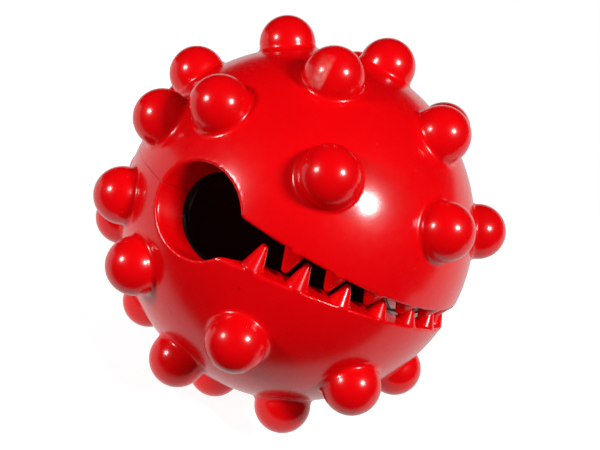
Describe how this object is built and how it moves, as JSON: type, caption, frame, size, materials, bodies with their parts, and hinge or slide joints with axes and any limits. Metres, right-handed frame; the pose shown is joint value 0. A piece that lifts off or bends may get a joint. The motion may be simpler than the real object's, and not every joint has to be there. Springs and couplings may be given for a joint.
{
  "type": "treat dispensing ball",
  "caption": "Hollow rubber treat ball with rounded nubs, a toothed mouth slot and a round treat hole at each end of the mouth.",
  "frame": {"origin": "centre of the ball, on the seam plane between the two halves", "axes": "+Z square to the seam plane, +X out of the middle of the mouth, +Y towards the right-hand treat hole"},
  "size_m": [0.0917, 0.095, 0.1014],
  "materials": {
    "red_rubber": "glossy moulded",
    "black_rubber": "satin moulded"
  },
  "bodies": {
    "root": {"upper_shell": "red_rubber", "lower_shell": "red_rubber", "upper_liner": "black_rubber", "lower_liner": "black_rubber"}
  },
  "joints": []
}
